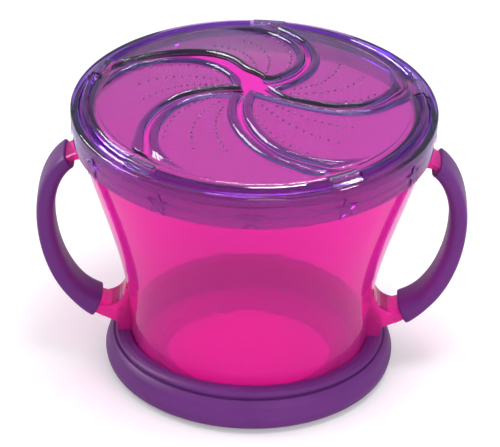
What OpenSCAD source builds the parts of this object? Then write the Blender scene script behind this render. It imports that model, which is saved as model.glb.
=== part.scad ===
// Toddler snack container: two-handled cup with soft grips and a soft foot ring,
// and a push-on lid ring whose soft domed top is cut into five swirling flaps.
// Millimetres; the foot ring stands on Z = 0, the handles lie along X.

/* [Cup] */
// Outer diameter of the cup's neck, inside the lid
mouth_d = 91; // [84:0.5:98]
// Outer diameter of the cup near its floor
foot_d = 63.6; // [58:0.2:68]
// Height of the cup from its underside to its rim
cup_h = 73.2; // [68:0.1:84]
// Height of the straight neck under the lid
neck_h = 8.6; // [7.6:0.1:11]
// Thickness of the cup's wall
cup_wall = 1.7; // [1.2:0.1:2.2]
// Thickness of the cup's floor
cup_floor = 2; // [1.4:0.1:3]
// Height of the raised middle of the cup's floor
floor_punt = 1.6; // [0.8:0.1:2.2]

/* [Handles] */
// How far the handles' centre lines stand out from the cup's neck at their widest
handle_out = 9.5; // [8:0.1:13]
// How far the handles run straight out from the neck before they bend down
handle_shoulder = 6.2; // [3:0.1:8]
// How far the handles' upper ends lie below the cup's neck
handle_drop = 3.4; // [3:0.1:8]
// Height of the handles' lower ends above the foot ring's collar
handle_lift = 0.8; // [0.3:0.1:2]
// Height at which the handles are widest
handle_belly = 45.5; // [40:0.5:50]
// Width of the moulded handle strap
strap_w = 8.8; // [7:0.1:10]
// Thickness of the moulded handle strap
strap_t = 2.4; // [2:0.1:3]
// How much thicker the strap is where it leaves the cup's neck
neck_flare = 1.2; // [0:0.1:2]
// How much wider the strap is where it leaves the cup's neck
neck_spread = 1.4; // [0:0.1:3]
// How much wider the strap is where it meets the cup's foot
foot_spread = 0.6; // [0:0.1:2]
// Thickness of the strap where it meets the cup's foot
root_t = 4.8; // [4:0.1:5.6]
// How far the upright pad under a handle stands out from the cup's wall
pad_out = 3.1; // [2:0.1:3.4]
// Thickness of the soft grip on the outside of the strap
grip_skin = 0.75; // [0.6:0.05:1]
// Width of the soft grip
grip_w = 11.7; // [10.6:0.1:12.6]
// How much thicker the grip is at its crowned inside
grip_crown = 1; // [0.6:0.1:1.6]

/* [Foot ring] */
// How far the foot ring stands out past the cup's foot, all round
ring_out = 6.7; // [6.3:0.1:10]
// Height of the foot ring's flange
flange_h = 9.3; // [8:0.1:9.6]
// Height of the foot ring's collar above the table, at the front and back
collar_h = 11.7; // [11:0.1:12.6]
// How far the collar falls towards the handles
collar_fall = 2.1; // [0.5:0.1:2.2]
// Thickness of the foot ring under the cup
sole_t = 2.6; // [2:0.1:3.4]
// Diameter of the round window in the foot ring's underside
window_d = 44.2; // [36:0.2:48]

/* [Lid] */
// Thickness of the lid's skirt
skirt_wall = 1.2; // [1:0.1:1.6]
// Height of the lid from its skirt's lower edge to the top of its band
lid_h = 9.2; // [8.4:0.1:11]
// How far the rounded band stands out from the skirt
band_step = 0.7; // [0.5:0.05:1]
// Height of the rounded band
band_h = 2.9; // [2.2:0.1:3.4]
// Thickness of the lid's flat top ring
plate_t = 1.4; // [1.2:0.1:1.8]
// How far the lid's plate reaches in over the cup's rim
ledge = 2.2; // [2:0.05:3]
// Height of the raised lip around the opening
lip_h = 1.4; // [1:0.1:1.8]
// Width of the raised lip
lip_w = 1.6; // [1.2:0.1:2]
// Number of raised stars around the skirt
star_count = 12; // [8:1:14]
// Radius of a star's points
star_r = 3.4; // [2.6:0.1:3.6]
// Height of the stars
star_h = 0.45; // [0.3:0.05:0.5]

/* [Soft top] */
// Thickness of the soft top
soft_t = 1; // [0.8:0.05:1.2]
// Rise of the dome from its edge to its middle
dome_rise = 2.8; // [2:0.1:4]
// Distance from the slits' outer ends to the lid's opening
slit_margin = 2.3; // [2:0.1:3.6]
// Width of the slits
slit_w = 0.8; // [0.7:0.05:1.2]
// Direction of the first slit's outer end
slit_turn = 92; // [80:1:100]
// Width of the rounded beads along the slits
bead_w = 2; // [1.6:0.1:2.4]
// Height of the beads above the soft top
bead_h = 1.1; // [0.8:0.05:1.4]
// Gap between a bead and its slit
bead_inset = 0.35; // [0.25:0.05:0.5]
// Length of slit edge at each outer end that stays on the rim
root_len = 15; // [14.6:0.1:17]
// Half gap on either side of each flap's bending line
hinge_gap = 0.42; // [0.4:0.02:0.5]
// Arc, in degrees, of the soft tabs that cross the lid's lip
tab_arc = 11; // [8:0.5:14]

/* [Fits] */
// Gap between the neck and the lid's skirt
lid_gap = 0.6; // [0.5:0.05:0.8]
// Height of the snap beads on the neck and in the skirt
snap_h = 0.24; // [0.16:0.02:0.24]
// How far the snap bead on the neck lies below the rim
snap_drop = 2.2; // [2:0.1:2.6]
// How far the snap bead in the skirt lies below the rim
catch_drop = 4.8; // [4.6:0.1:5.4]
// Gap between the cup's rim and the lid's plate
seat_gap = 0.2; // [0.1:0.05:0.3]
// Gap between soft pieces and the rigid pieces they grip
soft_fit = 0.1; // [0.06:0.02:0.16]

/* [Hidden] */
$fn = 180;
flaps = 5;
seat_z = sole_t;                              // the cup's underside
rim_z = seat_z + cup_h;                       // the cup's rim
neck_z = rim_z - neck_h;
mouth_r = mouth_d / 2;
foot_r = foot_d / 2;
foot_round = 1.4;
skirt_in = mouth_r + lid_gap;
skirt_r = skirt_in + skirt_wall;
lid_r = skirt_r + band_step;
plate_z = rim_z + seat_gap;                   // underside of the lid's plate
lid_z = plate_z + plate_t;                    // top of the band and plate
skirt_z = lid_z - lid_h;
open_r = mouth_r - ledge;                      // the lid's opening
slit_end_r = open_r - slit_margin;
handle_foot = collar_h + handle_lift + root_t / 2;
handle_top = neck_z - handle_drop;
ring_r = foot_r + ring_out;
window_r = window_d / 2;
seam = 0.02;                                  // plain contact gap between curved faces
foot_rise = 0.2;                              // the strap's rise before it meets the foot
strap_end = 1;                                // the strap's end stands this far off the wall

// Points of a cubic curve through its four control points
function bez(p, t) = pow(1 - t, 3) * p[0] + 3 * pow(1 - t, 2) * t * p[1]
                   + 3 * (1 - t) * t * t * p[2] + t * t * t * p[3];
function slope(p, t) = 3 * pow(1 - t, 2) * (p[1] - p[0]) + 6 * (1 - t) * t * (p[2] - p[1])
                     + 3 * t * t * (p[3] - p[2]);
function unit(v) = v / norm(v);

// ---- cup: outer wall as [radius, height], waisted low down and flaring to the neck
wall_n = 22;
wall_p = [[foot_r, seat_z + foot_round], [foot_r - 0.3, seat_z + 0.425 * (neck_z - seat_z)],
          [foot_r + 0.4 * (mouth_r - foot_r), seat_z + 0.572 * (neck_z - seat_z)],
          [mouth_r, neck_z]];
wall_pts = [for (i = [0 : wall_n]) bez(wall_p, i / wall_n)];
// outer radius of the cup at a height
function cup_r(z) = lookup(z, [for (q = wall_pts) [q[1], q[0]]]);
function inset(p, i, d) = let (t = unit(slope(p, i / wall_n))) bez(p, i / wall_n) + d * [-t[1], t[0]];

module cup_profile() {
    punt_r = window_r + 2.4;
    punt_z = seat_z + floor_punt;
    outer = concat([[0, punt_z], [punt_r, punt_z], [punt_r + 0.5, seat_z],
                    [foot_r - foot_round, seat_z],
                    [foot_r - 0.4 * foot_round, seat_z + 0.3 * foot_round]],
                   wall_pts, [[mouth_r, rim_z - 0.6], [mouth_r - 0.6, rim_z]]);
    inner = concat([[mouth_r - cup_wall + 0.4, rim_z], [mouth_r - cup_wall, rim_z - 0.5]],
                   [for (i = [wall_n : -1 : 1]) inset(wall_p, i, cup_wall)],
                   [[foot_r - cup_wall - 0.3, seat_z + cup_floor + 1.6],
                    [foot_r - cup_wall - 1.3, seat_z + cup_floor],
                    [punt_r + 2.2, seat_z + cup_floor],
                    [punt_r + 1.2, punt_z + cup_floor], [0, punt_z + cup_floor]]);
    polygon(concat(outer, inner));
}

// ---- handles: centre line in the XZ plane, drawn on the +X side
span_r = mouth_r + handle_out;
top_r = cup_r(handle_top);
low_r = cup_r(handle_foot);
strap_up = [[top_r - 0.9 * cup_wall, handle_top], [top_r + handle_shoulder, handle_top],
            [span_r, handle_belly + 0.52 * (handle_top - handle_belly)], [span_r, handle_belly]];
strap_dn = [[span_r, handle_belly], [span_r, handle_belly - 0.44 * (handle_belly - handle_foot)],
            [span_r - 0.3 * (span_r - low_r), handle_foot + foot_rise],
            [low_r + strap_end, handle_foot]];
function strap(u) = u <= 1 ? bez(strap_up, u) : bez(strap_dn, u - 1);
function strap_dir(u) = unit(u <= 1 ? slope(strap_up, u) : slope(strap_dn, u - 1));
// thickness of the strap along its line: thicker where it meets the cup's foot
function ramp(a, b, u) = let (s = min(1, max(0, (u - a) / (b - a)))) s * s * (3 - 2 * s);
function strap_th(u) = strap_t + (root_t - strap_t) * ramp(1.6, 1.95, u)
                     + neck_flare * (1 - ramp(0, 0.22, u));
function strap_wd(u) = strap_w + neck_spread * (1 - ramp(0, 0.2, u)) + foot_spread * ramp(1.7, 1.85, u);
// rounded-rectangle section, w across and t through
sec_n = 20;
function sgn_pow(v, e) = sign(v) * pow(abs(v), e);
function section(w, t, e) = [for (i = [0 : sec_n - 1]) let (a = 360 * (i + 0.5) / sec_n)
                             [t / 2 * sgn_pow(cos(a), e), w / 2 * sgn_pow(sin(a), e)]];

// a tube swept along the handle's line from u0 to u1
module swept(u0, u1, n) {
    pts = [for (i = [0 : n]) let (u = u0 + (u1 - u0) * i / n, c = strap(u), d = strap_dir(u),
             s = section(strap_wd(u), strap_th(u), 0.5))
           for (q = s) [c[0] - q[0] * d[1], q[1], c[1] + q[0] * d[0]]];
    caps = [[for (j = [sec_n - 1 : -1 : 0]) j], [for (j = [0 : sec_n - 1]) n * sec_n + j]];
    sides = [for (i = [0 : n - 1]) for (j = [0 : sec_n - 1])
             let (a = i * sec_n + j, b = i * sec_n + (j + 1) % sec_n)
             each [[a, b, a + sec_n], [b, b + sec_n, a + sec_n]]];
    polyhedron(points = pts, faces = concat(caps, sides), convexity = 4);
}

// upright pad on the cup's wall under a handle, with a fillet into the strap above
pad_lo = seat_z + 3.4;
pad_hi = handle_foot + 1.72 * root_t;
module pad_profile() {
    n = 8;
    face = low_r + pad_out;
    top = handle_foot + root_t / 2;
    fil = pad_hi - top;
    x0 = cup_r(pad_hi) + 0.2;
    polygon(concat(
        [for (i = [0 : n]) let (z = pad_lo + (pad_hi - pad_lo) * i / n) [cup_r(z) - cup_wall / 2, z]],
        [for (i = [0 : n]) let (a = 90 * i / n) [x0 + fil - fil * cos(a), pad_hi - fil * sin(a)]],
        [[face + 3.2, handle_foot + 0.9], [face + 3.2, handle_foot - 0.8]],
        [for (i = [0 : 4]) let (a = 90 * i / 4, q = handle_foot - root_t / 2 + 0.5)
            [face + 1 - sin(a), q - 1 + cos(a)]],
        [[face, pad_lo + 2], [face - 1, pad_lo]]));
}

module cup_wall_body(extra) {
    // the cup's outer volume, grown by a contact gap, for seating the handles on it
    rotate_extrude()
        polygon(concat([[0, 0], [foot_r + extra, 0]],
                       [for (q = wall_pts) [q[0] + extra, q[1]]],
                       [[mouth_r + extra, rim_z + 5], [0, rim_z + 5]]));
}

module handle(side) {
    color("deeppink")
    mirror([side < 0 ? 1 : 0, 0, 0])
    difference() {
        union() {
            swept(0, 2, 30);
            translate([0, strap_w / 2, 0]) rotate([90, 0, 0])
                linear_extrude(strap_w) pad_profile();
        }
        cup_wall_body(seam);
    }
}
module handle_left() { handle(-1); }
module handle_right() { handle(1); }

// ---- soft grips: sleeves around the middle of each strap, rounded over at their ends
grip_from = 0.27;
grip_to = 1.81;
// one section of the grip, [through, across]: narrow sides, flat outside, crowned inside
function grip_half(a) = let (w = grip_w / 2, c = cos(a), s = sin(a))
    c >= 0 ? [(strap_t / 2 + grip_skin) * pow(c, 0.45), w * sgn_pow(s, 0.5)]
           : [-(strap_t / 2 + grip_skin + grip_crown) * pow(-c, 0.85), w * sgn_pow(s, 0.62)];
function grip_section(k) = [for (i = [0 : sec_n - 1]) (1 - k) * grip_half(360 * (i + 0.5) / sec_n)];
module sleeve(u0, u1, n) {
    // outer rings, then inner rings, then the two annular ends
    function ring(i, s, x) = let (u = u0 + (u1 - u0) * i / n, c = strap(u), d = strap_dir(u))
        [for (q = s) [c[0] - (q[0] + sign(q[0]) * x * (strap_th(u) - strap_t) / 2) * d[1], q[1],
                      c[1] + (q[0] + sign(q[0]) * x * (strap_th(u) - strap_t) / 2) * d[0]]];
    function bore(i) = let (u = u0 + (u1 - u0) * i / n)
        section(strap_wd(u) + 2 * soft_fit, strap_th(u) + 2 * soft_fit, 0.5);
    pts = concat(
        [for (i = [0 : n]) each ring(i, grip_section(i == 0 || i == n ? 0.06 : 0), 1)],
        [for (i = [0 : n]) each ring(i, bore(i), 0)]);
    m = (n + 1) * sec_n;
    out = [for (i = [0 : n - 1]) for (j = [0 : sec_n - 1])
           let (a = i * sec_n + j, b = i * sec_n + (j + 1) % sec_n)
           each [[a, b, a + sec_n], [b, b + sec_n, a + sec_n]]];
    in = [for (f = out) [f[0] + m, f[2] + m, f[1] + m]];
    ends = [for (j = [0 : sec_n - 1]) let (b = (j + 1) % sec_n, e = n * sec_n)
            each [[j, m + j, b], [b, m + j, m + b],
                  [e + j, e + b, m + e + j], [e + b, m + e + b, m + e + j]]];
    polyhedron(points = pts, faces = concat(out, in, ends), convexity = 6);
}
module grip(side) {
    color("darkviolet") mirror([side < 0 ? 1 : 0, 0, 0]) sleeve(grip_from, grip_to, 26);
}
module grip_left() { grip(-1); }
module grip_right() { grip(1); }

module cup() {
    color("deeppink") {
        rotate_extrude() cup_profile();
        // snap bead round the neck
        translate([0, 0, rim_z - snap_drop]) rotate_extrude()
            translate([mouth_r - 0.6 + snap_h, 0]) circle(0.6, $fn = 32);
    }
}

// ---- foot ring: soft flange and collar that the cup presses into
function hug(z) = cup_r(z) + soft_fit;
module base_ring() {
    lip_z = seat_z + floor_punt - 0.3;
    collar_r = low_r + pad_out + 0.8;
    fall_r = ring_r * ring_r / (2 * collar_fall);
    color("indigo")
    difference() {
        intersection() {
            rotate_extrude() polygon([
                [window_r, 0.4], [window_r + 0.4, 0],
                [ring_r - 4.2, 0], [ring_r - 2.7, 0.4], [ring_r - 1.4, 1.1], [ring_r - 0.4, 2.1],
                [ring_r, 3.2], [ring_r - 0.15, 0.5 * flange_h], [ring_r - 0.5, 0.67 * flange_h],
                [ring_r - 1, 0.82 * flange_h], [ring_r - 1.5, 0.94 * flange_h],
                [ring_r - 2, flange_h], [collar_r + 0.3, flange_h], [collar_r - 0.3, flange_h - 0.4],
                [collar_r - 0.4, flange_h + 0.1],
                [collar_r, flange_h + 0.4 * (collar_h - flange_h)],
                [collar_r - 0.3, collar_h - 0.8], [collar_r - 1.1, collar_h - 0.15],
                [collar_r - 1.9, collar_h], [hug(collar_h) + 0.5, collar_h - 0.15],
                [hug(collar_h), collar_h - 0.8],
                [hug(seat_z + 4), seat_z + 4], [hug(seat_z + foot_round), seat_z + foot_round],
                [foot_r - 0.4 * foot_round + soft_fit, seat_z + 0.3 * foot_round],
                [foot_r - foot_round + soft_fit, seat_z - seam],
                [window_r + 2.2, seat_z - seam], [window_r + 1.6, lip_z], [window_r, lip_z - 0.3]]);
            // the collar's top falls away along X, towards the handles
            translate([0, 0, collar_h - fall_r]) rotate([90, 0, 0])
                cylinder(r = fall_r, h = 4 * ring_r, center = true, $fn = 720);
        }
        // pockets for the pads under the handles
        for (s = [0, 180]) rotate([0, 0, s])
            translate([foot_r - 1, -strap_w / 2 - soft_fit, pad_lo - soft_fit])
                cube([1 + low_r - foot_r + pad_out + soft_fit, strap_w + 2 * soft_fit, collar_h]);
    }
}

// ---- soft top: a shallow spherical shell, cut along five circles that all pass
// through its crown, each tilted so that it lies on the sphere
dome_r = (pow(open_r, 2) + pow(dome_rise, 2)) / (2 * dome_rise);
edge_z = lid_z + 0.9;                          // top of the soft top at the opening
dome_z = edge_z + dome_rise - dome_r;          // the sphere's centre
pitch = 360 / flaps;
swirl_r = 0.905 * slit_end_r / (2 * sin(90 - pitch / 2));  // the slits bow out past the bending lines' ends
tilt = asin(swirl_r / dome_r);
end_half = acos(slit_end_r / (2 * swirl_r));   // from a circle's centre line to its slit end
arc_end = -2 * end_half;                       // slit end, seen from the circle's centre
function end_dir(k) = slit_turn + pitch * (k - 1);
function circle_dir(k) = end_dir(k) + end_half;
chord_r = slit_end_r * cos(pitch / 2);         // the bending lines' distance from the middle
hinge_z = dome_z + sqrt(pow(dome_r, 2) - pow(slit_end_r, 2)) - soft_t / 2;
bead_off = slit_w / 2 + bead_inset + bead_w / 2;
bead_r = bead_w / 2;

// place children in the frame of slit circle k: its axis is Z, its origin the sphere's centre
module on_circle(k) {
    translate([0, 0, dome_z]) rotate([0, 0, circle_dir(k)]) rotate([0, tilt, 0]) children();
}
module slit_disc(k, r) {
    on_circle(k) translate([0, 0, dome_r - 12]) cylinder(r = r, h = 24);
}
// everything on the middle's side of flap k's bending line
module inner_side(k, d) {
    rotate([0, 0, end_dir(k) + pitch / 2])
        translate([-80, -80, edge_z - 20]) cube([80 + d, 160, 50]);
}
module slit_end(k, r) {
    rotate([0, 0, end_dir(k)]) translate([slit_end_r, 0, edge_z - 20]) cylinder(r = r, h = 50);
}
module shell(r0, r1) {
    rotate_extrude() intersection() {
        translate([0, dome_z]) difference() {
            circle(dome_r, $fn = 1440);
            circle(dome_r - soft_t, $fn = 1440);
        }
        translate([r0, edge_z - 8]) square([r1 - r0, 16]);
    }
}
// rounded bead along slit circle k at radius r from angle a0 to a1
module bead(k, r, a0, a1) {
    h = sqrt(pow(dome_r, 2) - pow(r, 2)) + bead_h - bead_r;
    on_circle(k) {
        rotate([0, 0, a0]) rotate_extrude(angle = a1 - a0)
            translate([r, h]) circle(bead_r, $fn = 32);
        for (a = [a0, a1]) rotate([0, 0, a]) translate([r, 0, h]) sphere(bead_r + 0.04, $fn = 40);
    }
}
// where the two beads of a flap meet at its tip, seen from either circle's centre
tip_d = 2 * swirl_r * sin(pitch / 2);
tip_a = (pow(swirl_r - bead_off, 2) - pow(swirl_r + bead_off, 2) + tip_d * tip_d) / (2 * tip_d);
tip_h = sqrt(pow(swirl_r - bead_off, 2) - tip_a * tip_a);
tip_in = 90 + pitch / 2 + atan2(tip_h, tip_a);
tip_out = 90 + pitch / 2 + atan2(tip_h, tip_a - tip_d) - pitch;
bead_stop = arc_end - root_len / swirl_r * 180 / PI;

module flap(k) {
    color("orchid") {
        difference() {
            intersection() {
                shell(1.1, slit_end_r);
                slit_disc(k, swirl_r - slit_w / 2);
                inner_side(k, chord_r - hinge_gap);
            }
            slit_disc(k + 1, swirl_r + slit_w / 2);
            slit_end(k, 1.2);
            slit_end(k + 1, root_len + slit_w / 2);
        }
        bead(k, swirl_r - bead_off, tip_in - 360, arc_end - 9);
        bead(k + 1, swirl_r + bead_off, tip_out - 360, bead_stop - 5);
    }
}
module flap_1() { flap(1); }
module flap_2() { flap(2); }
module flap_3() { flap(3); }
module flap_4() { flap(4); }
module flap_5() { flap(5); }

// the part of the soft top that stays with the lid: its edge, five roots that carry
// the bead ends, a hook under the plate and five tabs across the lip
hook_z = plate_z - soft_fit;
hook_r = mouth_r - cup_wall - 0.3;
tab_r = open_r + 3.3;
module soft_top_rim() {
    edge_r = open_r - soft_fit;
    color("orchid") {
        difference() {
            shell(chord_r - 6, edge_r);
            for (k = [1 : flaps]) {
                difference() {
                    intersection() {
                        slit_disc(k, swirl_r + slit_w / 2);
                        inner_side(k, chord_r + hinge_gap);
                    }
                    slit_disc(k + 1, swirl_r + slit_w / 2);
                    slit_end(k + 1, root_len);
                }
                slit_end(k, 1.1);
            }
        }
        rotate_extrude() polygon([[edge_r - 1.1, edge_z - soft_t - 0.1], [edge_r - 1.1, hook_z - 0.8],
            [hook_r, hook_z - 0.8], [hook_r, hook_z], [edge_r, hook_z],
            [edge_r, edge_z - 0.2], [edge_r - 1.1, edge_z - 0.2]]);
        for (k = [1 : flaps]) {
            bead(k, swirl_r + bead_off, bead_stop + 5, arc_end - 1);
            rotate([0, 0, end_dir(k) - tab_arc]) rotate_extrude(angle = tab_arc)
                polygon([[edge_r - 0.8, lid_z - 0.4], [tab_r, lid_z - 0.4], [tab_r, lid_z + 0.5],
                         [tab_r - 0.6, lid_z + 1], [open_r + 0.8, lid_z + lip_h],
                         [edge_r - 0.8, lid_z + lip_h - 0.2]]);
        }
    }
}

// ---- lid ring: rounded band, starred skirt, flat plate and raised lip
function star(r) = [for (i = [0 : 9]) let (a = 90 + 36 * i, q = i % 2 == 0 ? r : 0.42 * r)
                    q * [cos(a), sin(a)]];
module lid_ring() {
    n = 6;
    round_r = 0.7;
    star_z = (skirt_z + lid_z - band_h) / 2;
    color("mediumpurple")
    difference() {
        union() {
            rotate_extrude() polygon(concat(
                [[open_r, plate_z + 0.3], [open_r + 0.3, plate_z], [skirt_in - 0.5, plate_z],
                 [skirt_in, plate_z - 0.5], [skirt_in, skirt_z + 0.5], [skirt_in + 0.4, skirt_z],
                 [skirt_r - 0.4, skirt_z], [skirt_r, skirt_z + 0.4],
                 [skirt_r, lid_z - band_h - 0.1], [lid_r - 0.25, lid_z - band_h],
                 [lid_r, lid_z - band_h + 0.3]],
                [for (i = [0 : n]) let (a = 90 * i / n)
                    [lid_r - round_r + round_r * cos(a), lid_z - round_r + round_r * sin(a)]],
                [[open_r + lip_w + 1, lid_z], [open_r + lip_w + 0.5, lid_z - 0.45],
                 [open_r + lip_w, lid_z - 0.2]],
                [for (i = [0 : n]) let (a = 180 * i / n)
                    [open_r + lip_w / 2 + lip_w / 2 * cos(a),
                     lid_z + lip_h - lip_w / 2 + lip_w / 2 * sin(a)]]));
            // snap bead inside the skirt
            translate([0, 0, rim_z - catch_drop]) rotate_extrude()
                translate([skirt_in + 0.5 - snap_h, 0]) circle(0.5, $fn = 32);
            // raised five-point stars
            for (i = [0 : star_count - 1]) rotate([0, 0, 360 * i / star_count])
                translate([skirt_in + 0.6, 0, star_z]) rotate([90, 0, 90])
                    linear_extrude(skirt_wall - 0.6 + star_h) polygon(star(star_r));
        }
        // notches for the soft tabs
        for (k = [1 : flaps])
            rotate([0, 0, end_dir(k) - tab_arc - 0.2]) rotate_extrude(angle = tab_arc + 0.4)
                translate([open_r - lip_w, lid_z - 0.4 - soft_fit])
                    square([tab_r + soft_fit - open_r + lip_w, 2 * lip_h + 1]);
    }
}

cup();
handle_left();
handle_right();
grip_left();
grip_right();
base_ring();
lid_ring();
soft_top_rim();
flap_1();
flap_2();
flap_3();
flap_4();
flap_5();
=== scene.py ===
"""Toddler snack container, dressed on its CAD frame: glossy see-through cup, handles and lid,
satin soft grips and foot ring, and a soft domed top cut into five swirling flaps."""

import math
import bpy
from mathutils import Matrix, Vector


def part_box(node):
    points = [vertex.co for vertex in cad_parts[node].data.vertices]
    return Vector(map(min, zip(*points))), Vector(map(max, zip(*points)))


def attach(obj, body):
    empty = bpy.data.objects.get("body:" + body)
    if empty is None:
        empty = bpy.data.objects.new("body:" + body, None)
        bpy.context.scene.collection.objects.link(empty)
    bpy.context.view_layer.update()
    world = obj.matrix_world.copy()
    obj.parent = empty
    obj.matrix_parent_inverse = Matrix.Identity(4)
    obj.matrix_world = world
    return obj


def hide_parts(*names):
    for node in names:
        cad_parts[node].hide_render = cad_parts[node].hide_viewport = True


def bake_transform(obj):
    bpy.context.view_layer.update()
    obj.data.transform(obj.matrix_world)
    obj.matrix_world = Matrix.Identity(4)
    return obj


bl_info = {
    "name": "Toddler Snack Container",
    "version": (1, 0, 0),
    "blender": (4, 5, 0),
    "location": "3D View > Sidebar > Snack Container",
    "description": "Builds the finished pieces of a toddler snack container on its CAD frame",
    "category": "Object",
}

import bmesh
import bpy
from mathutils import Matrix, Vector

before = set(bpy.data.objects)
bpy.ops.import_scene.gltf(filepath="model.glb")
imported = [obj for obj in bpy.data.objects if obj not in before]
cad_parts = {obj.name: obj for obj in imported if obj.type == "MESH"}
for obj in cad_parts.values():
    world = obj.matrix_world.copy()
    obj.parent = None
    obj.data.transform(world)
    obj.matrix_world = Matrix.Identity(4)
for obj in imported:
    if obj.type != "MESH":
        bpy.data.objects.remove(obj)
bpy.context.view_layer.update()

MM = 0.001
FLAPS = 5
PITCH = 360 / FLAPS


def node_reach(node):
    """Largest radius along X and the lowest and highest Z of a CAD node, in millimetres."""
    low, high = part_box(node)
    return high[0] / MM, low[2] / MM, high[2] / MM


LID_R, _, LIP_TOP = node_reach("lid_ring")
_, SEAT_Z, RIM_Z = node_reach("cup")
FOOT_RING_R, _, COLLAR_Z = node_reach("base_ring")
LID_EDGE = 4.7  # from the lid's edge in to its opening
LIP_HEIGHT = 1.4  # of the lip around the opening, above the lid's top
OPENING_R = LID_R - LID_EDGE
LID_Z = LIP_TOP - LIP_HEIGHT
CREASE = math.radians(40)  # edges sharper than this stay sharp


# ---------------------------------------------------------------- sizes and colours
class SnackTopSizes(bpy.types.PropertyGroup):
    """Sizes of the soft top, in metres"""

    dome_rise: bpy.props.FloatProperty(
        name="Dome rise", description="Rise of the soft top from its edge to its middle",
        default=2.8 * MM, unit="LENGTH")
    thickness: bpy.props.FloatProperty(
        name="Thickness", description="Thickness of the soft top between its beads",
        default=0.6 * MM, unit="LENGTH")
    slit_margin: bpy.props.FloatProperty(
        name="Slit margin", description="Distance from the slits' outer ends to the lid's opening",
        default=2.3 * MM, unit="LENGTH")
    slit_width: bpy.props.FloatProperty(
        name="Slit width", description="Gap between two neighbouring flaps",
        default=0.7 * MM, unit="LENGTH")
    slit_turn: bpy.props.FloatProperty(
        name="Slit turn", description="Direction of the first slit's outer end",
        default=math.radians(91), subtype="ANGLE")
    swirl: bpy.props.FloatProperty(
        name="Swirl", description="Radius of the slits; a smaller value bows them out more",
        default=0.86, subtype="FACTOR")
    bead_width: bpy.props.FloatProperty(
        name="Bead width", description="Width of the raised bead along each slit",
        default=2.4 * MM, unit="LENGTH")
    bead_height: bpy.props.FloatProperty(
        name="Bead height", description="Height of the beads above the soft top",
        default=1.05 * MM, unit="LENGTH")
    dot_size: bpy.props.FloatProperty(
        name="Dot size", description="Radius of the small raised dots in rows on the flaps",
        default=0.37 * MM, unit="LENGTH")
    dots_per_row: bpy.props.IntProperty(
        name="Dots per row", description="Number of raised dots in each curved row", default=12)
    back_lift: bpy.props.FloatProperty(
        name="Back flap lift", description="How far the tip of the back flap stands up",
        default=2.3 * MM, unit="LENGTH")


class SnackGripSizes(bpy.types.PropertyGroup):
    """Sizes of the soft grips and foot ring, in metres"""

    grip_width: bpy.props.FloatProperty(
        name="Grip width", description="Width of the soft grips across the handle",
        default=11.7 * MM, unit="LENGTH")
    grip_outside: bpy.props.FloatProperty(
        name="Grip outside", description="From the strap's middle to the flat outside of a grip",
        default=1.95 * MM, unit="LENGTH")
    grip_inside: bpy.props.FloatProperty(
        name="Grip inside", description="From the strap's middle to the crowned inside of a grip",
        default=2.95 * MM, unit="LENGTH")
    flange_height: bpy.props.FloatProperty(
        name="Flange height", description="Height of the foot ring's flange",
        default=9.3 * MM, unit="LENGTH")
    collar_fall: bpy.props.FloatProperty(
        name="Collar fall", description="How far the collar's top falls towards the handles",
        default=2.1 * MM, unit="LENGTH")


def colour_property(label, text, value):
    """Colour setting with its default value."""
    return bpy.props.FloatVectorProperty(
        name=label, description=text, default=value, subtype="COLOR", size=3, min=0, max=1)


class SnackColours(bpy.types.PropertyGroup):
    """Colours of the container and its stage"""

    cup: colour_property("Cup", "See-through pink of the cup", (0.92, 0.08, 0.62))
    cup_deep: colour_property("Cup, deep", "Pink in the cup's streaks", (0.88, 0.06, 0.55))
    cup_depth: colour_property("Cup, inside", "Light that passes through the cup's wall",
                               (0.94, 0.05, 0.72))
    handle: colour_property("Handles", "Pink of the handle straps", (0.95, 0.04, 0.42))
    lid: colour_property("Lid", "See-through violet of the lid ring", (0.86, 0.68, 0.93))
    lid_deep: colour_property("Lid, deep", "Violet in the lid's streaks", (0.78, 0.58, 0.90))
    lid_depth: colour_property("Lid, inside", "Light that passes through the lid ring",
                               (0.43, 0.02, 0.72))
    soft_top: colour_property("Soft top", "Mauve of the soft top", (0.98, 0.94, 0.93))
    soft_top_deep: colour_property("Soft top, deep", "Mauve in the soft top's streaks",
                                   (0.95, 0.88, 0.90))
    soft_depth: colour_property("Soft top, inside", "Light that passes through the soft top",
                                (0.38, 0.22, 0.65))
    # dots: painted shade, a dark purple on the raised dots that stands in for the dark shading of
    # the small dimpled dots
    dots: colour_property("Dots", "Dark purple painted on the small dots as their shade", (0.09, 0.012, 0.10))
    rubber: colour_property("Rubber", "Purple of the grips and foot ring", (0.155, 0.034, 0.215))
    rubber_deep: colour_property("Rubber, deep", "Purple in the rubber's hollows",
                                 (0.105, 0.020, 0.150))
    floor: colour_property("Floor", "Pale floor under the container", (0.86, 0.86, 0.86))


# ---------------------------------------------------------------- materials
def add_node(tree, kind, x, y, inputs=None, **settings):
    """New node at (x, y); inputs holds socket values and settings the node's own values."""
    n = tree.nodes.new(kind)
    n.location = (x, y)
    for key, v in settings.items():
        setattr(n, key, v)
    for key, v in (inputs or {}).items():
        n.inputs[key].default_value = v
    return n


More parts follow.
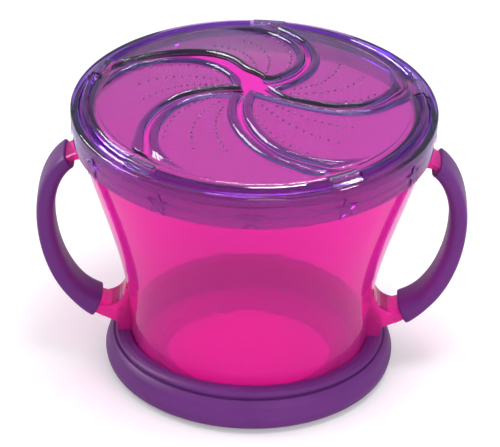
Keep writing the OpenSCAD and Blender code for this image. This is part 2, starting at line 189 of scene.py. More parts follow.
def moulded_group():
    """Shader group for moulded plastic and rubber: flow in the colour, uneven gloss, fine grain."""
    g = bpy.data.node_groups.get("Moulded finish")
    if g:
        return g
    g = bpy.data.node_groups.new("Moulded finish", "ShaderNodeTree")
    face = g.interface
    for name, kind, value in (
        ("Colour", "NodeSocketColor", (0.8, 0.8, 0.8, 1)),
        ("Deep Colour", "NodeSocketColor", (0.5, 0.5, 0.5, 1)),
        ("Flow Size", "NodeSocketFloat", 30.0),
        ("Flow Amount", "NodeSocketFloat", 0.5),
        ("Roughness", "NodeSocketFloat", 0.2),
        ("Gloss Change", "NodeSocketFloat", 0.05),
        ("Grain Size", "NodeSocketFloat", 1500.0),
    ):
        s = face.new_socket(name=name, in_out="INPUT", socket_type=kind)
        s.default_value = value
    for name, kind in (("Colour", "NodeSocketColor"), ("Roughness", "NodeSocketFloat"),
                       ("Height", "NodeSocketFloat")):
        face.new_socket(name=name, in_out="OUTPUT", socket_type=kind)
    inp = add_node(g, "NodeGroupInput", -900, 0)
    out = add_node(g, "NodeGroupOutput", 600, 0)
    place = add_node(g, "ShaderNodeTexCoord", -900, -300)
    flow = add_node(g, "ShaderNodeTexNoise", -600, 200, {"Detail": 3.0, "Distortion": 0.6})
    grain = add_node(g, "ShaderNodeTexNoise", -600, -200, {"Detail": 2.0})
    g.links.new(place.outputs["Object"], flow.inputs["Vector"])
    g.links.new(place.outputs["Object"], grain.inputs["Vector"])
    g.links.new(inp.outputs["Flow Size"], flow.inputs["Scale"])
    g.links.new(inp.outputs["Grain Size"], grain.inputs["Scale"])
    spread = add_node(g, "ShaderNodeMapRange", -350, 200, {"From Min": 0.35, "From Max": 0.65})
    g.links.new(flow.outputs["Fac"], spread.inputs["Value"])
    amount = add_node(g, "ShaderNodeMath", -100, 200, operation="MULTIPLY")
    g.links.new(spread.outputs["Result"], amount.inputs[0])
    g.links.new(inp.outputs["Flow Amount"], amount.inputs[1])
    mix = add_node(g, "ShaderNodeMix", 150, 200, data_type="RGBA")
    g.links.new(amount.outputs[0], mix.inputs["Factor"])
    g.links.new(inp.outputs["Colour"], mix.inputs["A"])
    g.links.new(inp.outputs["Deep Colour"], mix.inputs["B"])
    g.links.new(mix.outputs["Result"], out.inputs["Colour"])
    centre = add_node(g, "ShaderNodeMath", -100, -50, {1: 0.5}, operation="SUBTRACT")
    g.links.new(flow.outputs["Fac"], centre.inputs[0])
    swing = add_node(g, "ShaderNodeMath", 100, -50, operation="MULTIPLY_ADD")
    g.links.new(centre.outputs[0], swing.inputs[0])
    g.links.new(inp.outputs["Gloss Change"], swing.inputs[1])
    g.links.new(inp.outputs["Roughness"], swing.inputs[2])
    g.links.new(swing.outputs[0], out.inputs["Roughness"])
    g.links.new(grain.outputs["Fac"], out.inputs["Height"])
    return g


def finish(name, colour, deep, roughness, *, flow=30.0, flow_amount=0.5, gloss_change=0.05,
           grain=1500.0, bump=0.02, bump_mm=0.05, plain=None, depth=None):
    """One moulded material; plain holds the shader values that are the same all over.
    depth is (colour, absorption per metre) of a see-through plastic that darkens with thickness."""
    m = bpy.data.materials.get(name)
    if m:
        return m
    m = bpy.data.materials.new(name)
    m.use_nodes = True
    t = m.node_tree
    shader = t.nodes["Principled BSDF"]
    group = add_node(
        t, "ShaderNodeGroup", -500, 100,
        {"Colour": (*colour, 1), "Deep Colour": (*deep, 1), "Flow Size": flow,
         "Flow Amount": flow_amount, "Roughness": roughness, "Gloss Change": gloss_change,
         "Grain Size": grain}, node_tree=moulded_group())
    relief = add_node(t, "ShaderNodeBump", -250, -250,
                      {"Strength": bump, "Distance": bump_mm * MM})
    t.links.new(group.outputs["Colour"], shader.inputs["Base Color"])
    t.links.new(group.outputs["Roughness"], shader.inputs["Roughness"])
    t.links.new(group.outputs["Height"], relief.inputs["Height"])
    t.links.new(relief.outputs["Normal"], shader.inputs["Normal"])
    for key, v in (plain or {}).items():
        shader.inputs[key].default_value = v
    if depth:
        body = add_node(t, "ShaderNodeVolumeAbsorption", 0, -350,
                        {"Color": (*depth[0], 1), "Density": depth[1]})
        t.links.new(body.outputs["Volume"], t.nodes["Material Output"].inputs["Volume"])
    return m


def cup_plastic():
    c = bpy.context.scene.snack_colours
    return finish("Cup plastic", c.cup, c.cup_deep, 0.05, flow=18, flow_amount=0.3,
                  plain={"Transmission Weight": 0.80, "IOR": 1.19}, depth=(c.cup_depth, 150))


def handle_plastic():
    c = bpy.context.scene.snack_colours
    return finish("Handle plastic", c.handle, c.cup_deep, 0.06, flow=40, flow_amount=0.3,
                  plain={"Transmission Weight": 0.60, "IOR": 1.2}, depth=(c.cup_depth, 70))


def lid_plastic():
    c = bpy.context.scene.snack_colours
    return finish("Lid plastic", c.lid, c.lid_deep, 0.03, flow=40, flow_amount=0.3,
                  plain={"Transmission Weight": 0.985, "IOR": 1.25, "Coat Weight": 0.22,
                         "Coat Roughness": 0.02}, depth=(c.lid_depth, 700))


def soft_plastic():
    c = bpy.context.scene.snack_colours
    return finish("Soft top", c.soft_top, c.soft_top_deep, 0.08, flow=25, flow_amount=0.4,
                  plain={"Transmission Weight": 0.985, "IOR": 1.25, "Coat Weight": 0.12,
                         "Coat Roughness": 0.03}, depth=(c.soft_depth, 1050))


# painted shade: the raised dots get a dark glossy material in place of the shading their small
# dimples show
def dot_painted_shade_plastic():
    c = bpy.context.scene.snack_colours
    return finish("Soft top dots, painted shade", c.dots, c.dots, 0.2, plain={"IOR": 1.5})


def rubber():
    c = bpy.context.scene.snack_colours
    return finish("Soft rubber", c.rubber, c.rubber_deep, 0.42, flow=45, flow_amount=0.35,
                  gloss_change=0.10, grain=2600, bump=0.10, bump_mm=0.08,
                  plain={"IOR": 1.3, "Specular IOR Level": 0.3})


# ---------------------------------------------------------------- mesh helpers
def make_piece(name, points, faces, materials, slots=None):
    """Mesh object from points in millimetres; slots gives each face's material number."""
    mesh = bpy.data.meshes.new(name)
    mesh.from_pydata([(x * MM, y * MM, z * MM) for x, y, z in points], [], faces)
    for m in materials:
        mesh.materials.append(m)
    if slots:
        mesh.polygons.foreach_set("material_index", slots)
    work = bmesh.new()
    work.from_mesh(mesh)
    bmesh.ops.recalc_face_normals(work, faces=work.faces)
    work.to_mesh(mesh)
    work.free()
    mesh.polygons.foreach_set("use_smooth", [True] * len(mesh.polygons))
    mesh.set_sharp_from_angle(angle=CREASE)
    mesh.update()
    piece = bpy.data.objects.new(name, mesh)
    bpy.context.scene.collection.objects.link(piece)
    return piece


def rounded(corners, steps=5):
    """Outline with its corners rounded: each corner is (radius from the axis, height, fillet)."""
    n = len(corners)
    out = []
    for i in range(n):
        p = Vector(corners[i][:2])
        a = Vector(corners[i - 1][:2]) - p
        b = Vector(corners[(i + 1) % n][:2]) - p
        fillet = corners[i][2]
        if fillet <= 0:
            out.append(tuple(p))
            continue
        half = a.angle(b) / 2
        cut = min(fillet / math.tan(half), 0.49 * a.length, 0.49 * b.length)
        r = cut * math.tan(half)
        start = p + a.normalized() * cut
        middle = p + (a.normalized() + b.normalized()).normalized() * (r / math.sin(half))
        u = start - middle
        end = p + b.normalized() * cut - middle
        turn = math.atan2(u.x * end.y - u.y * end.x, u.dot(end))
        for j in range(steps + 1):
            w = turn * j / steps
            out.append((middle.x + u.x * math.cos(w) - u.y * math.sin(w),
                        middle.y + u.x * math.sin(w) + u.y * math.cos(w)))
    return out


def turned(outline, around, start=0.0, sweep=360.0):
    """Points and faces of a closed outline turned about Z, capped if it isn't a full turn."""
    n = len(outline)
    full = sweep >= 360
    rings = around if full else around + 1
    points = []
    for i in range(rings):
        a = math.radians(start + sweep * i / around)
        points += [(r * math.cos(a), r * math.sin(a), z) for r, z in outline]
    faces = []
    for i in range(around):
        a, b = i * n, ((i + 1) % rings) * n
        faces += [(a + j, b + j, b + (j + 1) % n, a + (j + 1) % n) for j in range(n)]
    if not full:
        faces.append(tuple(range(n - 1, -1, -1)))
        faces.append(tuple(range((rings - 1) * n, rings * n)))
    return points, faces


def joined(*parts):
    """Several (points, faces) as one."""
    points, faces = [], []
    for p, f in parts:
        k = len(points)
        points += p
        faces += [tuple(i + k for i in face) for face in f]
    return points, faces


def dress(node, material):
    """Give a CAD node's mesh one finished material."""
    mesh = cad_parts[node].data
    mesh.materials.clear()
    mesh.materials.append(material)
    mesh.polygons.foreach_set("material_index", [0] * len(mesh.polygons))


def bezier(p, t):
    """Point at share t of the cubic curve with the four control points p."""
    return sum((Vector(q) * w for q, w in zip(
        p, ((1 - t) ** 3, 3 * (1 - t) ** 2 * t, 3 * (1 - t) * t * t, t ** 3))), Vector((0, 0)))


def smooth_step(a, b, x):
    """0 below a, 1 above b and a smooth rise between them."""
    s = min(1.0, max(0.0, (x - a) / (b - a)))
    return s * s * (3 - 2 * s)


# ---------------------------------------------------------------- handles and grips
# The cup's outside wall and the handles' middle line, in millimetres, follow the CAD solids.
FOOT_R = 31.8
MOUTH_R = OPENING_R + 2.2
NECK_HEIGHT = 8.6  # from the neck up to the cup's rim
NECK_Z = RIM_Z - NECK_HEIGHT
WALL = [(FOOT_R, SEAT_Z + 1.4), (FOOT_R - 0.3, SEAT_Z + 0.425 * (NECK_Z - SEAT_Z)),
        (FOOT_R + 0.4 * (MOUTH_R - FOOT_R), SEAT_Z + 0.572 * (NECK_Z - SEAT_Z)),
        (MOUTH_R, NECK_Z)]
WALL_LINE = [bezier(WALL, i / 60) for i in range(61)]


def cup_radius(z):
    """Outside radius of the cup at height z."""
    for a, b in zip(WALL_LINE, WALL_LINE[1:]):
        if z <= b.y:
            return a.x + (b.x - a.x) * (z - a.y) / (b.y - a.y)
    return MOUTH_R


STRAP_T = 2.4
STRAP_FOOT_MORE, STRAP_NECK_MORE = 2.4, 1.2  # how much thicker the strap gets at its ends
HANDLE_DROP = 3.4  # from the neck down to the handle's top
HANDLE_LIFT = 0.8  # from the collar up to the strap's underside
HANDLE_OUT = 9.5  # from the mouth's edge out to the handle's furthest point
WALL_SINK = 1.53  # how deep the handle's top end sits in the cup's wall
SHOULDER = 6.2  # how far the top runs level before it turns down
BELLY = 45.5  # height at which the handle stands furthest out
HANDLE_TOP = NECK_Z - HANDLE_DROP
HANDLE_FOOT = COLLAR_Z + HANDLE_LIFT + STRAP_T
SPAN = MOUTH_R + HANDLE_OUT
TOP_R, LOW_R = cup_radius(HANDLE_TOP), cup_radius(HANDLE_FOOT)
UPPER = [(TOP_R - WALL_SINK, HANDLE_TOP), (TOP_R + SHOULDER, HANDLE_TOP),
         (SPAN, BELLY + 0.52 * (HANDLE_TOP - BELLY)), (SPAN, BELLY)]
LOWER = [(SPAN, BELLY), (SPAN, BELLY - 0.44 * (BELLY - HANDLE_FOOT)),
         (SPAN - 0.3 * (SPAN - LOW_R), HANDLE_FOOT + 0.2), (LOW_R + 1, HANDLE_FOOT)]


def handle_line(u):
    """Point (radius, height) of the handle's line; u runs from 0 at the neck to 2 at the foot."""
    return bezier(UPPER, u) if u <= 1 else bezier(LOWER, u - 1)


def handle_way(u):
    """Direction of the handle's line at u."""
    d = handle_line(min(2, u + 1e-3)) - handle_line(max(0, u - 1e-3))
    return d.normalized()


def strap_thickness(u):
    """Thickness of the strap at u."""
    return (STRAP_T + STRAP_FOOT_MORE * smooth_step(1.6, 1.95, u)
            + STRAP_NECK_MORE * (1 - smooth_step(0, 0.22, u)))


def grip_section(half, outside, inside, count=12):
    """Grip section: a nearly flat outside, tight long edges and a crowned inside."""
    pts = []
    for j in range(4 * count):
        a = 2 * math.pi * (j + 0.5) / (4 * count)
        c, s = math.cos(a), math.sin(a)
        across = math.copysign(abs(s) ** (0.5 if c >= 0 else 0.62), s) * half
        pts.append((outside * c ** 0.45 if c >= 0 else -inside * (-c) ** 0.85, across))
    return pts


def swept(side, stations):
    """Closed tube through stations of (u, section points) along one handle's line."""
    points, faces = [], []
    n = len(stations[0][1])
    for u, pts in stations:
        c, d = handle_line(u), handle_way(u)
        points += [(side * (c.x - q * d.y), w, c.y + q * d.x) for q, w in pts]
    for i in range(len(stations) - 1):
        for j in range(n):
            a, b = i * n + j, i * n + (j + 1) % n
            faces.append((a, b, b + n, a + n) if side > 0 else (a, a + n, b + n, b))
    last = (len(stations) - 1) * n
    faces.append(tuple(range(n - 1, -1, -1)) if side > 0 else tuple(range(n)))
    faces.append(tuple(range(last, last + n)) if side > 0
                 else tuple(range(last + n - 1, last - 1, -1)))
    return points, faces


class SNACK_OT_cup(bpy.types.Operator):
    """Finish the cup and its two handle straps in glossy see-through pink"""

    bl_idname = "snack.cup"
    bl_label = "Cup and handles"

    def execute(self, context):
        dress("cup", cup_plastic())
        for node in ("handle_left", "handle_right"):
            dress(node, handle_plastic())
        return {"FINISHED"}


class SNACK_OT_grips(bpy.types.Operator):
    """Make the soft grips around the two handles"""

    bl_idname = "snack.grips"
    bl_label = "Soft grips"

    def execute(self, context):
        sizes = context.scene.snack_grips
        half = sizes.grip_width / MM / 2
        outer, crown = sizes.grip_outside / MM, sizes.grip_inside / MM
        # each grip runs from u0 to u1 along the handle's line, with a rounded cap at both ends
        u0, u1, rings, cap_length = 0.27, 1.81, 72, 0.03
        # (distance from the end along u, how far the section draws in)
        cap = ((0.0, 0.9), (0.0015, 0.5), (0.005, 0.2), (0.011, 0.05), (0.018, 0.0))
        for side, node in ((-1, "grip_left"), (1, "grip_right")):
            us = [(u0 + c, s) for c, s in cap]
            us += [(u0 + cap_length + (u1 - u0 - 2 * cap_length) * i / rings, 0.0)
                   for i in range(rings + 1)]
            us += [(u1 - c, s) for c, s in reversed(cap)]
            stations = []
            for u, s in us:
                swell = (strap_thickness(u) - STRAP_T) / 2 - s
                stations.append((u, grip_section(half - s, outer + swell, crown + swell)))
            points, faces = swept(side, stations)
            piece = make_piece(node.replace("grip", "soft_grip"), points, faces, [rubber()])
            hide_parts(node)
            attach(piece, "container")
        return {"FINISHED"}


class SNACK_OT_foot_ring(bpy.types.Operator):
    """Make the soft foot ring with its collar, crease and flared flange"""

    bl_idname = "snack.foot_ring"
    bl_label = "Soft foot ring"

    def execute(self, context):
        sizes = context.scene.snack_grips
        top, fall = sizes.flange_height / MM, sizes.collar_fall / MM
        r = FOOT_RING_R
        collar = LOW_R + 3.9
        inner = cup_radius(COLLAR_Z) + 0.1
        outline = rounded([
            (22.1, 0.0, 0.4), (r - 3.6, 0.0, 3.0), (r - 0.5, 1.5, 2.6), (r + 0.1, 4.4, 3.0),
            (r - 0.9, 0.82 * top, 2.0), (r - 2.0, top + 0.05, 0.8), (collar + 0.1, top, 0.5),
            (collar - 0.5, top - 0.55, 0.3), (collar - 0.3, top + 0.3, 0.4),
            (collar + 0.05, 0.5 * (top + COLLAR_Z), 0.9), (collar - 0.5, COLLAR_Z - 0.3, 0.9),
            (collar - 1.8, COLLAR_Z + 0.05, 1.0), (inner + 0.2, COLLAR_Z - 0.15, 0.4),
            (inner, COLLAR_Z - 0.8, 0.3),
            (cup_radius(SEAT_Z + 4) + 0.1, SEAT_Z + 4, 0), (FOOT_R + 0.1, SEAT_Z + 1.4, 0.6),
            (FOOT_R - 1.3, SEAT_Z - 0.02, 0.4), (24.3, SEAT_Z - 0.02, 0.3),
            (23.7, SEAT_Z + 1.3, 0.3), (22.1, SEAT_Z + 1.0, 0.4)])
        points, faces = turned(outline, 300)
        # the collar's top falls away towards the handles
        points = [(x, y, z - fall * (x / r) ** 2 * smooth_step(top - 1.2, COLLAR_Z, z))
                  for x, y, z in points]
        piece = make_piece("soft_foot_ring", points, faces, [rubber()])
        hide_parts("base_ring")
        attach(piece, "container")
        return {"FINISHED"}


class SNACK_OT_lid_ring(bpy.types.Operator):
    """Finish the push-on lid ring in glossy see-through violet"""

    bl_idname = "snack.lid_ring"
    bl_label = "Lid ring"

    def execute(self, context):
        dress("lid_ring", lid_plastic())
        return {"FINISHED"}


# ---------------------------------------------------------------- soft top
# How the photographed flaps lie, in millimetres. A shift is (in X, in Y) and fades out over its
# reach, which is a radius or a pair of radii.
CROWN_SHIFT, CROWN_REACH = (-1.8, -0.4), 30
FRONT_SHIFT, FRONT_MIDDLE, FRONT_REACH = (1.8, 3.0), (9, -12), 26
TIP_BACK = (0.6, 1.4, 1.5, -0.3, 3.5)  # how far each flap's tip stays back from the crown
TIP_REACH = 11
TIP_LEAN = 0.55  # turns the way back, as a share of the slit's own turn
BACK_FLAP, BACK_TIP_SHIFT = 1, (3.2, 1.2)
BACK_CROWN, BACK_EDGE, BACK_REACH = 0.45, 0.75, (16, 41)  # shares of the lift at tip and edge
FRONT_FLAP, FRONT_LIFT, FRONT_LIFT_REACH = 4, 0.7, (4, 26)

DOME_SEAT = 0.9  # height of the soft top's edge above the lid
BEAD_INSET = 0.35  # from a slit's edge to the bead
BEAD_END, BEAD_FADE = 0.84, 0.05  # where a bead runs out, as a share of the slit
TAB_TURN = 11  # degrees of the rim that one tab takes
DOT_HEIGHT = 0.9  # as a share of the dot's radius
DOT_SINK = 0.05  # of the dot's foot in the soft top
# (share across the flap at the inner and outer end, inner and outer radius) of each row
DOT_ROWS = ((0.20, 0.16, 9.5, 31.5), (0.45, 0.42, 9.5, 31.0), (0.66, 0.69, 11.0, 29.0))


class Swirl:
    """The soft top's dome and slits, in millimetres."""

    def __init__(self):
        s = bpy.context.scene.snack_top
        self.rise = s.dome_rise / MM
        self.thick = s.thickness / MM
        self.edge = OPENING_R
        self.end = OPENING_R - s.slit_margin / MM
        self.gap = s.slit_width / MM / 2
        self.turn = math.degrees(s.slit_turn)
        self.bead_w = s.bead_width / MM
        self.bead_h = s.bead_height / MM
        self.dome_r = (self.edge ** 2 + self.rise ** 2) / (2 * self.rise)
        self.dome_z = LID_Z + DOME_SEAT + self.rise - self.dome_r
        self.rho = s.swirl * self.end / (2 * math.sin(math.radians(90 - PITCH / 2)))
        self.half = math.acos(self.end / (2 * self.rho))
        self.dot_r = s.dot_size / MM
        self.dot_count = s.dots_per_row
        self.lift = s.back_lift / MM

    def settled(self, k, p):
        """Where a point of flap k comes to rest: the crown sits a little left of the middle,
        the front right flaps are pushed back and the back flap's front edge and tip stand up."""
        x, y, z = p
        r = math.hypot(x, y)
        crown = 1 - smooth_step(0, CROWN_REACH, r)
        front = 1 - smooth_step(0, FRONT_REACH,
                                math.hypot(x - FRONT_MIDDLE[0], y - FRONT_MIDDLE[1]))
        tip = 1 - smooth_step(0, TIP_REACH, r)
        m = self.end_way(k) + math.radians(PITCH / 2) - 2 * self.half * TIP_LEAN
        back = TIP_BACK[k - 1] * tip
        if k == BACK_FLAP:
            f = math.atan2(y, x) - self.flap_way(k, max(1.0, min(r, self.end)), 0)
            t = f % (2 * math.pi) / math.radians(PITCH)
            t = min(t, 1) if t < 3 else 0
            edge = t * (1 - smooth_step(*BACK_REACH, r))
            z += self.lift * (crown * BACK_CROWN + edge * BACK_EDGE)
            x, y = x + BACK_TIP_SHIFT[0] * tip, y + BACK_TIP_SHIFT[1] * tip
        if k == FRONT_FLAP:
            z += FRONT_LIFT * (1 - smooth_step(*FRONT_LIFT_REACH, r))
        return (x + CROWN_SHIFT[0] * crown + FRONT_SHIFT[0] * front + back * math.cos(m),
                y + CROWN_SHIFT[1] * crown + FRONT_SHIFT[1] * front + back * math.sin(m), z)

    def height(self, r):
        """Height of the dome's outside at radius r."""
        return self.dome_z + math.sqrt(self.dome_r ** 2 - r * r)

    def end_way(self, k):
        """Direction of slit k's outer end."""
        return math.radians(self.turn + PITCH * (k - 1))

    def circle_way(self, k):
        """Direction of the middle of slit k's circle."""
        return self.end_way(k) + self.half

    def centre(self, k):
        """Middle of slit k's circle."""
        a = self.circle_way(k)
        return Vector((self.rho * math.cos(a), self.rho * math.sin(a)))

    def flap_way(self, k, r, t):
        """Direction from the middle at radius r, a share t of the way across flap k."""
        return self.circle_way(k) - math.acos(r / (2 * self.rho)) + math.radians(PITCH) * t

    def tip(self, k, d):
        """Where the two edges of flap k, drawn in by d, meet near the crown."""
        a, b = self.centre(k), self.centre(k + 1)
        ra, rb = self.rho - d, self.rho + d
        gap = b - a
        dist = gap.length
        along = (ra * ra - rb * rb + dist * dist) / (2 * dist)
        up = math.sqrt(ra * ra - along * along)
        n = gap.normalized()
        two = [a + n * along + Vector((-n.y, n.x)) * up * s for s in (1, -1)]
        return min(two, key=lambda q: q.length)

    def edge_line(self, k, d, inside, count):
        """Points from flap k's tip to radius end, along the slit edge drawn in by d."""
        c = self.centre(k if inside else k + 1)
        way = self.circle_way(k if inside else k + 1)
        sign = -1 if inside else 1
        g = self.gap
        first = self.tip(k, d + g) - c
        b0 = math.atan2(first.y, first.x)
        r_end = self.rho + sign * d
        b1 = way - math.acos(min(1, (self.end ** 2 - self.rho ** 2 - r_end ** 2)
                                 / (2 * self.rho * r_end)))
        while b0 > b1:
            b0 -= 2 * math.pi
        while b1 - b0 > 2 * math.pi:
            b0 += 2 * math.pi
        out = []
        for i in range(count + 1):
            s = i / count
            b = b0 + (b1 - b0) * s
            r = self.rho + sign * (d + g * (1 - smooth_step(0.96, 1.0, s)))
            p = c + Vector((math.cos(b), math.sin(b))) * r
            out.append(p * (1 + (self.end / p.length - 1) * smooth_step(0.8, 1, s)))
        return out


def bead_offsets(sw):
    """Distances from a slit edge at which the membrane has mesh lines."""
    w = sw.bead_w
    shares = (0, 0.03, 0.1, 0.2, 0.35, 0.5, 0.65, 0.8, 0.9, 0.97, 1)
    return [0, 0.18, 0.3, *(BEAD_INSET + w * q for q in shares),
            BEAD_INSET + w + 0.25, BEAD_INSET + w + 0.6]


def bead_profile(sw, d):
    """Height of the bead's cross-section at distance d from the slit's edge."""
    x = abs(2 * (d - BEAD_INSET) / sw.bead_w - 1)
    return 0 if x >= 1 else sw.bead_h * (1 - x ** 2.4) ** 0.75


def flap_mesh(sw, k, along=72, across=30):
    """Points and faces of one flap: membrane, beads and underside."""
    offsets = bead_offsets(sw)
    lines, raised = [], []
    for d in offsets:
        a = sw.edge_line(k, d, True, along)
        b = sw.edge_line(k, d, False, along)
        h = bead_profile(sw, d)
        row = list(reversed(a)) + b[1:]
        up = []
        for i in range(along + 1):
            x = max(0.0, (1 - i / along - BEAD_END) / BEAD_FADE)
            up.append(h * math.sqrt(max(0.0, 1 - x * x)))
        up += [h] * along
        lines.append(row)
        raised.append(up)
    top, low = [], []
    n = 2 * along + 1
    for row, up in zip(lines, raised):
        for p, h in zip(row, up):
            z = sw.height(p.length)
            top.append((p.x, p.y, z + h))
            low.append((p.x, p.y, z - sw.thick))
    m = len(offsets)
    faces = []
    for j in range(m - 1):
        for i in range(n - 1):
            a, b = j * n + i, (j + 1) * n + i
            faces.append((a, a + 1, b + 1, b))
    # the middle of the flap, between the innermost lines
    inner_a = [lines[-1][along - i] for i in range(along + 1)]
    inner_b = [lines[-1][along + i] for i in range(along + 1)]
    index = {}
    for i in range(along + 1):
        index[i, 0] = (m - 1) * n + along - i
        index[i, across] = (m - 1) * n + along + i
        pa, pb = inner_a[i], inner_b[i]
        ra, rb = pa.length, pb.length
        fa, fb = math.atan2(pa.y, pa.x), math.atan2(pb.y, pb.x)
        while fb < fa:
            fb += 2 * math.pi
        for j in range(1, across):
            if i == 0:
                index[i, j] = index[0, 0]
                continue
            t = j / across
            r, f = ra + (rb - ra) * t, fa + (fb - fa) * t
            index[i, j] = len(top)
            z = sw.height(r)
            top.append((r * math.cos(f), r * math.sin(f), z))
            low.append((r * math.cos(f), r * math.sin(f), z - sw.thick))
    for i in range(along):
        for j in range(across):
            q = [index[i, j], index[i + 1, j], index[i + 1, j + 1], index[i, j + 1]]
            q = [v for p, v in enumerate(q) if v not in q[:p]]
            faces.append(tuple(q))
    shift = len(top)
    under = [tuple(reversed([v + shift for v in f])) for f in faces]
    side = [(i, i + shift, i + 1 + shift, i + 1) for i in range(n - 1)]
    # the outer end, along radius end
    rim = [j * n for j in range(m)] + [index[along, j] for j in range(1, across)] \
        + [j * n + n - 1 for j in range(m - 1, -1, -1)]
    side += [(b, b + shift, a + shift, a) for a, b in zip(rim, rim[1:])]
    return top + low, faces + under + side


def dot_bumps(sw, k):
    """Rows of small raised dots on flap k."""
    points, faces = [], []
    around, up = 10, 4
    for t0, t1, r0, r1 in DOT_ROWS:
        for i in range(sw.dot_count):
            s = i / (sw.dot_count - 1)
            r = r0 + (r1 - r0) * s
            a = sw.flap_way(k, r, t0 + (t1 - t0) * s)
            x, y, z = r * math.cos(a), r * math.sin(a), sw.height(r) - DOT_SINK
            base = len(points)
            for j in range(up):
                e = math.radians(90 * j / up)
                for q in range(around):
                    w = 2 * math.pi * q / around
                    points.append((x + sw.dot_r * math.cos(e) * math.cos(w),
                                   y + sw.dot_r * math.cos(e) * math.sin(w),
                                   z + DOT_HEIGHT * sw.dot_r * math.sin(e)))
            points.append((x, y, z + DOT_HEIGHT * sw.dot_r))
            for j in range(up - 1):
                for q in range(around):
                    a0, b0 = base + j * around + q, base + j * around + (q + 1) % around
                    faces.append((a0, b0, b0 + around, a0 + around))
            for q in range(around):
                faces.append((base + (up - 1) * around + q,
                              base + (up - 1) * around + (q + 1) % around, base + up * around))
            faces.append(tuple(base + q for q in range(around - 1, -1, -1)))
    return points, faces


class SNACK_OT_flaps(bpy.types.Operator):
    """Make the five soft flaps with their beads and rows of dots"""

    bl_idname = "snack.flaps"
    bl_label = "Soft flaps"

    def execute(self, context):
        sw = Swirl()
        for k in range(1, FLAPS + 1):
            flap, dots = flap_mesh(sw, k), dot_bumps(sw, k)
            slots = [0] * len(flap[1]) + [1] * len(dots[1])
            points, faces = joined(flap, dots)
            points = [sw.settled(k, p) for p in points]
            piece = make_piece(f"soft_flap_{k}", points, faces, [soft_plastic(), dot_painted_shade_plastic()],
                               slots)
            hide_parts(f"flap_{k}")
            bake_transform(piece)
        return {"FINISHED"}


class SNACK_OT_soft_rim(bpy.types.Operator):
    """Make the soft top's edge with the five tabs that cross the lid's lip"""

    bl_idname = "snack.soft_rim"
    bl_label = "Soft rim and tabs"

    def execute(self, context):
        sw = Swirl()
        e = sw.edge - 0.1
        z_end, z_edge = sw.height(sw.end), sw.height(e)
        hook = RIM_Z + 0.1
        outline = [(sw.end, z_end), (sw.end + 0.8, sw.height(sw.end + 0.8)),
                   (e - 0.3, z_edge), (e, z_edge - 0.3), (e, hook), (e + 0.2, hook - 0.1),
                   (e + 0.2, hook - 0.8), (e - 1.1, hook - 0.8), (e - 1.1, z_edge - sw.thick - 0.2),
                   (sw.end + 0.6, sw.height(sw.end + 0.6) - sw.thick), (sw.end, z_end - sw.thick)]
        parts = [turned(outline, 300)]
        for k in range(1, FLAPS + 1):
            a1 = math.degrees(sw.end_way(k))
            tab = rounded([(e - 1.3, LIP_TOP - 1.0, 0.1), (e - 0.2, LIP_TOP - 0.4, 0.1),
                           (sw.edge + 1.3, LIP_TOP - 0.1, 0.2), (sw.edge + 1.6, LID_Z + 0.05, 0.2),
                           (sw.edge + 2.9, LID_Z - 0.05, 0.1), (sw.edge + 2.9, LID_Z + 0.3, 0.2),
                           (sw.edge + 2.0, LID_Z + 0.65, 0.4), (sw.edge + 1.5, LIP_TOP + 0.28, 0.5),
                           (e - 0.3, LIP_TOP + 0.3, 0.5), (e - 1.3, LIP_TOP - 0.3, 0.5)], 4)
            parts.append(turned(tab, 18, a1 - TAB_TURN, TAB_TURN))
        points, faces = joined(*parts)
        piece = make_piece("soft_rim", points, faces, [soft_plastic()])
        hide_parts("soft_top_rim")
        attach(piece, "lid")
        return {"FINISHED"}


# ---------------------------------------------------------------- stage
LAMP_AIM = (0, 0, 0.05)
ROOM_LEVEL = 0.62  # brightness of the white room where it lights or is mirrored
FLOOR_GLOW = 0.22  # lifts the floor to white for the camera
# (name, place, width, height, power, whether it only shows in gloss)
LAMPS = (
    ("Left softbox", (-0.75, 0.10, 0.62), 0.40, 0.40, 1.5, False),
    ("Top softbox", (0.12, -0.15, 1.0), 0.45, 0.30, 4.5, False),
    ("Front fill", (0.5, -0.9, 0.5), 0.7, 0.5, 3.0, False),
    ("Left window", (-0.62, 0.22, 0.58), 0.60, 0.40, 20.0, True),
    ("Back strip", (0.20, 0.40, 0.95), 0.70, 0.09, 11.0, True),
)


def softbox(name, place, width, height, power):
    """Rectangular lamp turned towards the container."""
    lamp = bpy.data.lights.new(name, "AREA")
    lamp.shape = "RECTANGLE"
    lamp.size, lamp.size_y = width, height
    lamp.energy = power
    o = bpy.data.objects.new(name, lamp)
    o.location = place
    o.rotation_euler = (Vector(LAMP_AIM) - Vector(place)).to_track_quat("-Z", "Y").to_euler()
    bpy.context.scene.collection.objects.link(o)
    return o


def seen_plainly(tree):
    """1 for rays from the camera and for see-through rays, else 0."""
    path = add_node(tree, "ShaderNodeLightPath", -700, 300)
    either = add_node(tree, "ShaderNodeMath", -450, 300, operation="MAXIMUM")
    tree.links.new(path.outputs["Is Camera Ray"], either.inputs[0])
    tree.links.new(path.outputs["Is Transmission Ray"], either.inputs[1])
    return either.outputs[0]


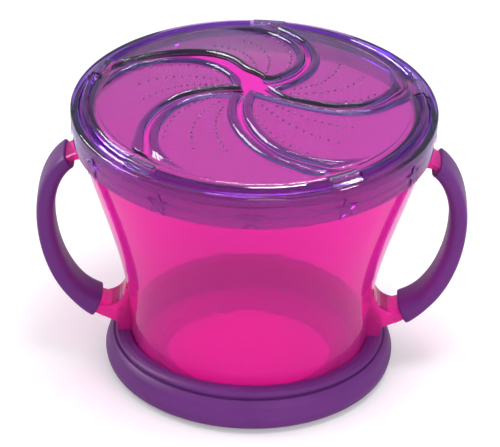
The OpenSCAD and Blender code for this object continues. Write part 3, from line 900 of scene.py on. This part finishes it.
class SNACK_OT_stage(bpy.types.Operator):
    """Set up the pale floor, the soft studio lamps and the camera"""

    bl_idname = "snack.stage"
    bl_label = "Stage"

    def execute(self, context):
        scene = context.scene
        c = scene.snack_colours
        scene.view_settings.view_transform = "Standard"
        world = bpy.data.worlds.new("Studio")
        world.use_nodes = True
        scene.world = world
        t = world.node_tree
        back = t.nodes["Background"]
        back.inputs["Color"].default_value = (1, 1, 1, 1)
        level = add_node(t, "ShaderNodeMapRange", -100, 100, {"To Min": ROOM_LEVEL, "To Max": 1.0})
        t.links.new(seen_plainly(t), level.inputs["Value"])
        t.links.new(level.outputs["Result"], back.inputs["Strength"])

        half = 4.0  # half the floor's side, in metres
        mesh = bpy.data.meshes.new("floor")
        mesh.from_pydata([(-half, -half, 0), (half, -half, 0), (half, half, 0), (-half, half, 0)],
                         [], [(0, 1, 2, 3)])
        floor = bpy.data.objects.new("floor", mesh)
        floor.location.z = -0.00005  # just clear of the container's underside
        scene.collection.objects.link(floor)
        m = bpy.data.materials.new("Pale floor")
        m.use_nodes = True
        t = m.node_tree
        shader = t.nodes["Principled BSDF"]
        for key, v in {"Base Color": (*c.floor, 1), "Roughness": 0.7, "Specular IOR Level": 0.1,
                       "Emission Color": (1, 1, 1, 1)}.items():
            shader.inputs[key].default_value = v
        glow = add_node(t, "ShaderNodeMath", -50, 300, {1: FLOOR_GLOW}, operation="MULTIPLY")
        t.links.new(seen_plainly(t), glow.inputs[0])
        t.links.new(glow.outputs[0], shader.inputs["Emission Strength"])
        mesh.materials.append(m)

        for *lamp, gloss_only in LAMPS:
            softbox(*lamp).visible_diffuse = not gloss_only

        camera = bpy.data.cameras.new("Camera")
        camera.lens = 281.2
        camera.sensor_width = 36
        camera.clip_start = 0.01
        camera.clip_end = 20
        rig = bpy.data.objects.new("Camera", camera)
        # the photo's viewpoint: lift above the table, distance from the point aimed at, roll
        lift, away, roll = math.radians(31.036), 1.0353, math.radians(1.402)
        aim = Vector((-0.000438, 0, 0.041605))
        place = aim + Vector((0, -math.cos(lift), math.sin(lift))) * away
        rig.matrix_world = Matrix.Translation(place) @ Matrix.Rotation(
            math.pi / 2 - lift, 4, "X") @ Matrix.Rotation(roll, 4, "Z")
        scene.collection.objects.link(rig)
        scene.camera = rig
        return {"FINISHED"}


class SNACK_PT_panel(bpy.types.Panel):
    """Lists the container's pieces, sizes and colours"""

    bl_label = "Snack Container"
    bl_idname = "SNACK_PT_panel"
    bl_space_type = "VIEW_3D"
    bl_region_type = "UI"
    bl_category = "Snack Container"

    def draw(self, context):
        for group in (context.scene.snack_top, context.scene.snack_grips,
                      context.scene.snack_colours):
            column = self.layout.column()
            for name in group.__annotations__:
                column.prop(group, name)
        for operator in STEPS:
            self.layout.operator(operator.bl_idname)


STEPS = (SNACK_OT_stage, SNACK_OT_cup, SNACK_OT_grips, SNACK_OT_foot_ring, SNACK_OT_lid_ring,
         SNACK_OT_soft_rim, SNACK_OT_flaps)
GROUPS = (SnackTopSizes, SnackGripSizes, SnackColours)


def register():
    for cls in (*GROUPS, *STEPS, SNACK_PT_panel):
        bpy.utils.register_class(cls)
    bpy.types.Scene.snack_top = bpy.props.PointerProperty(type=SnackTopSizes)
    bpy.types.Scene.snack_grips = bpy.props.PointerProperty(type=SnackGripSizes)
    bpy.types.Scene.snack_colours = bpy.props.PointerProperty(type=SnackColours)


def unregister():
    del bpy.types.Scene.snack_top
    del bpy.types.Scene.snack_grips
    del bpy.types.Scene.snack_colours
    for cls in reversed((*GROUPS, *STEPS, SNACK_PT_panel)):
        bpy.utils.unregister_class(cls)


def main():
    register()
    bpy.ops.snack.stage()
    bpy.ops.snack.cup()
    bpy.ops.snack.grips()
    bpy.ops.snack.foot_ring()
    bpy.ops.snack.lid_ring()
    bpy.ops.snack.soft_rim()
    bpy.ops.snack.flaps()
    bpy.context.view_layer.update()


if __name__ == "__main__":
    main()
